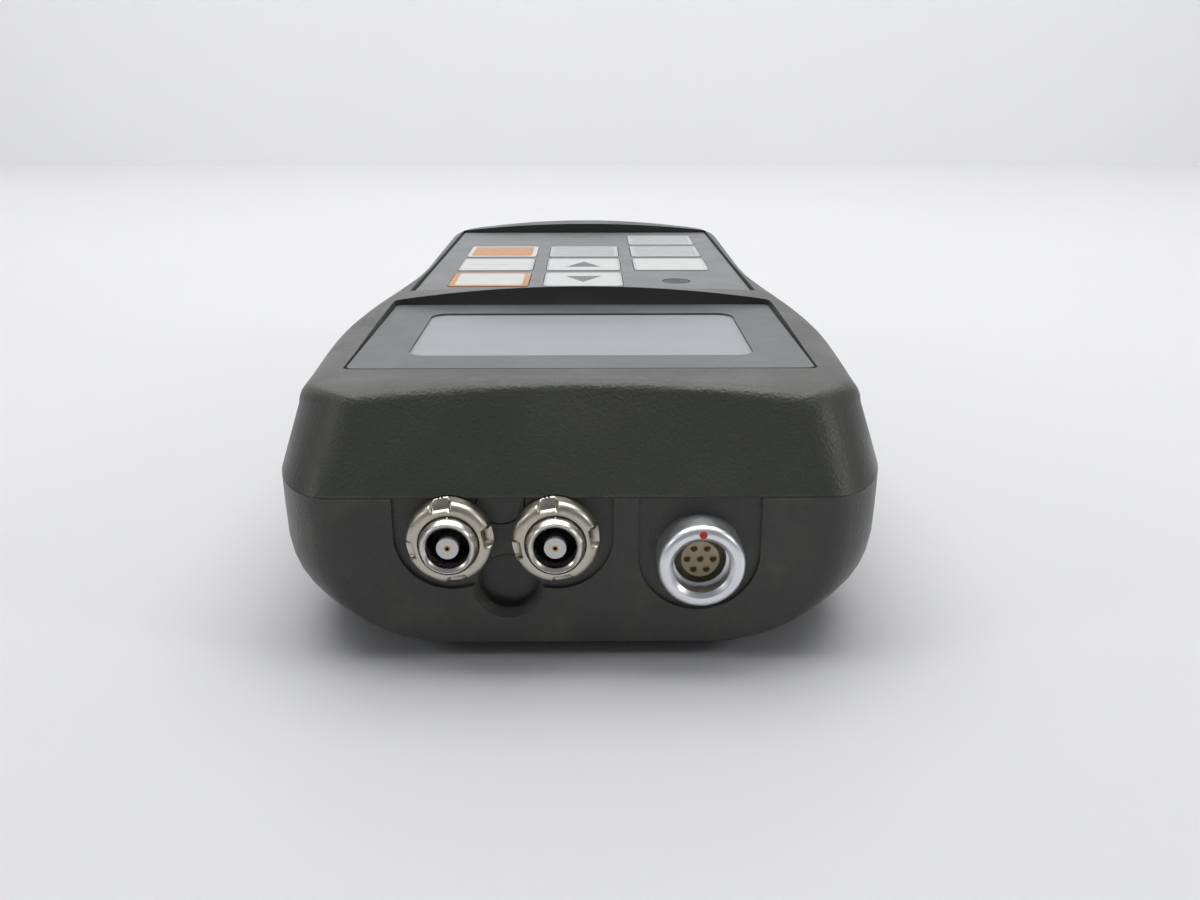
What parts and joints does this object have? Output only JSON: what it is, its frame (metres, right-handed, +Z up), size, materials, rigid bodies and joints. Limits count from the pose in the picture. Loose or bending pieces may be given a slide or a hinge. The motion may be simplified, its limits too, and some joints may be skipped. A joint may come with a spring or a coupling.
{
  "type": "ultrasonic thickness gauge",
  "caption": "Hand-held ultrasonic thickness gauge with a recessed display, a membrane keypad, coaxial probe sockets, a round data socket and a sliding battery door.",
  "frame": {"origin": "middle of the footprint, on the table, with the gauge lying on its back", "axes": "+Z up through the display, -Y out of the connector end, +X to the right seen from that end"},
  "size_m": [0.076, 0.1498, 0.034],
  "materials": {
    "case_plastic": "fine spark texture, dark olive grey, slightly polished by handling",
    "overlay_film": "satin printed film",
    "key_white": "embossed film key, white print",
    "key_orange": "embossed film key, orange print",
    "key_grey": "embossed film key, light grey print",
    "clear_window": "clear hard-coated acrylic",
    "lcd": "reflective liquid crystal glass, switched off",
    "tin_plate": "tin-plated sheet",
    "elastomer": "conductive elastomer strip",
    "diffuser": "backlight sheet",
    "board": "solder-masked glass-epoxy board",
    "chip": "moulded chip package",
    "connector_body": "moulded connector body",
    "spacer_film": "adhesive spacer film",
    "circuit_film": "polyimide circuit film",
    "spring_steel": "stainless snap dome and spring leaf",
    "lens_dark": "dark indicator lens",
    "led_body": "diffused lamp body",
    "nickel": "nickel-plated brass, a little tarnished",
    "ptfe": "white fluoropolymer insulator",
    "gold_contact": "gold-plated contact",
    "matte_chrome": "satin chrome-plated shell",
    "cream_insert": "cream insulating insert",
    "red_dot": "red index mark",
    "cell_wrap": "wrapped alkaline cell",
    "screw_steel": "blackened steel screw"
  },
  "bodies": {
    "case": {"upper_shell": "case_plastic", "lower_shell": "case_plastic", "display_window": "clear_window", "display_overlay": "overlay_film", "lcd_glass": "lcd", "lcd_frame": "tin_plate", "lcd_strips": "elastomer", "backlight_panel": "diffuser", "main_board": "board", "main_chips": "chip", "connector_board": "board", "board_header": "chip", "keypad_overlay": "overlay_film", "keypad_spacer": "spacer_film", "keypad_circuit": "circuit_film", "keypad_connector": "connector_body", "multi_dome": "spring_steel", "on_dome": "spring_steel", "send_dome": "spring_steel", "up_dome": "spring_steel", "down_dome": "spring_steel", "grey_dome_middle": "spring_steel", "mode_dome": "spring_steel", "grey_dome_upper": "spring_steel", "grey_dome_lower": "spring_steel", "indicator_lens": "lens_dark", "indicator_led": "led_body", "coax_socket_left": "nickel", "coax_socket_right": "nickel", "coax_nut_left": "nickel", "coax_nut_right": "nickel", "coax_insulator_left": "ptfe", "coax_insulator_right": "ptfe", "coax_contact_left": "gold_contact", "coax_contact_right": "gold_contact", "data_socket": "matte_chrome", "data_nut": "nickel", "data_insert": "cream_insert", "data_contacts": "gold_contact", "data_index_dot": "red_dot", "cell_left": "cell_wrap", "cell_right": "cell_wrap", "battery_leaves": "spring_steel", "battery_plates": "spring_steel", "case_screws": "screw_steel", "board_screws": "tin_plate"},
    "multi_key": {"multi_key": "key_white"},
    "on_key": {"on_key": "key_white"},
    "send_key": {"send_key": "key_orange"},
    "up_key": {"up_key": "key_white"},
    "down_key": {"down_key": "key_white"},
    "grey_key_middle": {"grey_key_middle": "key_grey"},
    "mode_key": {"mode_key": "key_white"},
    "grey_key_upper": {"grey_key_upper": "key_grey"},
    "grey_key_lower": {"grey_key_lower": "key_grey"},
    "battery_door": {"battery_door": "case_plastic"}
  },
  "joints": [
    {"name": "multi_key_press", "type": "slide", "parent": "case", "child": "multi_key", "axis": [0, 0, -1], "range_m": [0, 0.0004], "stiffness_N_per_m": 3000, "deforming": ["multi_dome"]},
    {"name": "on_key_press", "type": "slide", "parent": "case", "child": "on_key", "axis": [0, 0, -1], "range_m": [0, 0.0004], "stiffness_N_per_m": 3000, "deforming": ["on_dome"]},
    {"name": "send_key_press", "type": "slide", "parent": "case", "child": "send_key", "axis": [0, 0, -1], "range_m": [0, 0.0004], "stiffness_N_per_m": 3000, "deforming": ["send_dome"]},
    {"name": "up_key_press", "type": "slide", "parent": "case", "child": "up_key", "axis": [0, 0, -1], "range_m": [0, 0.0004], "stiffness_N_per_m": 3000, "deforming": ["up_dome"]},
    {"name": "down_key_press", "type": "slide", "parent": "case", "child": "down_key", "axis": [0, 0, -1], "range_m": [0, 0.0004], "stiffness_N_per_m": 3000, "deforming": ["down_dome"]},
    {"name": "grey_key_middle_press", "type": "slide", "parent": "case", "child": "grey_key_middle", "axis": [0, 0, -1], "range_m": [0, 0.0004], "stiffness_N_per_m": 3000, "deforming": ["grey_dome_middle"]},
    {"name": "mode_key_press", "type": "slide", "parent": "case", "child": "mode_key", "axis": [0, 0, -1], "range_m": [0, 0.0004], "stiffness_N_per_m": 3000, "deforming": ["mode_dome"]},
    {"name": "grey_key_upper_press", "type": "slide", "parent": "case", "child": "grey_key_upper", "axis": [0, 0, -1], "range_m": [0, 0.0004], "stiffness_N_per_m": 3000, "deforming": ["grey_dome_upper"]},
    {"name": "grey_key_lower_press", "type": "slide", "parent": "case", "child": "grey_key_lower", "axis": [0, 0, -1], "range_m": [0, 0.0004], "stiffness_N_per_m": 3000, "deforming": ["grey_dome_lower"]},
    {"name": "battery_door_slide", "type": "slide", "parent": "case", "child": "battery_door", "axis": [0, 1, 0], "range_m": [0, 0.012]}
  ]
}
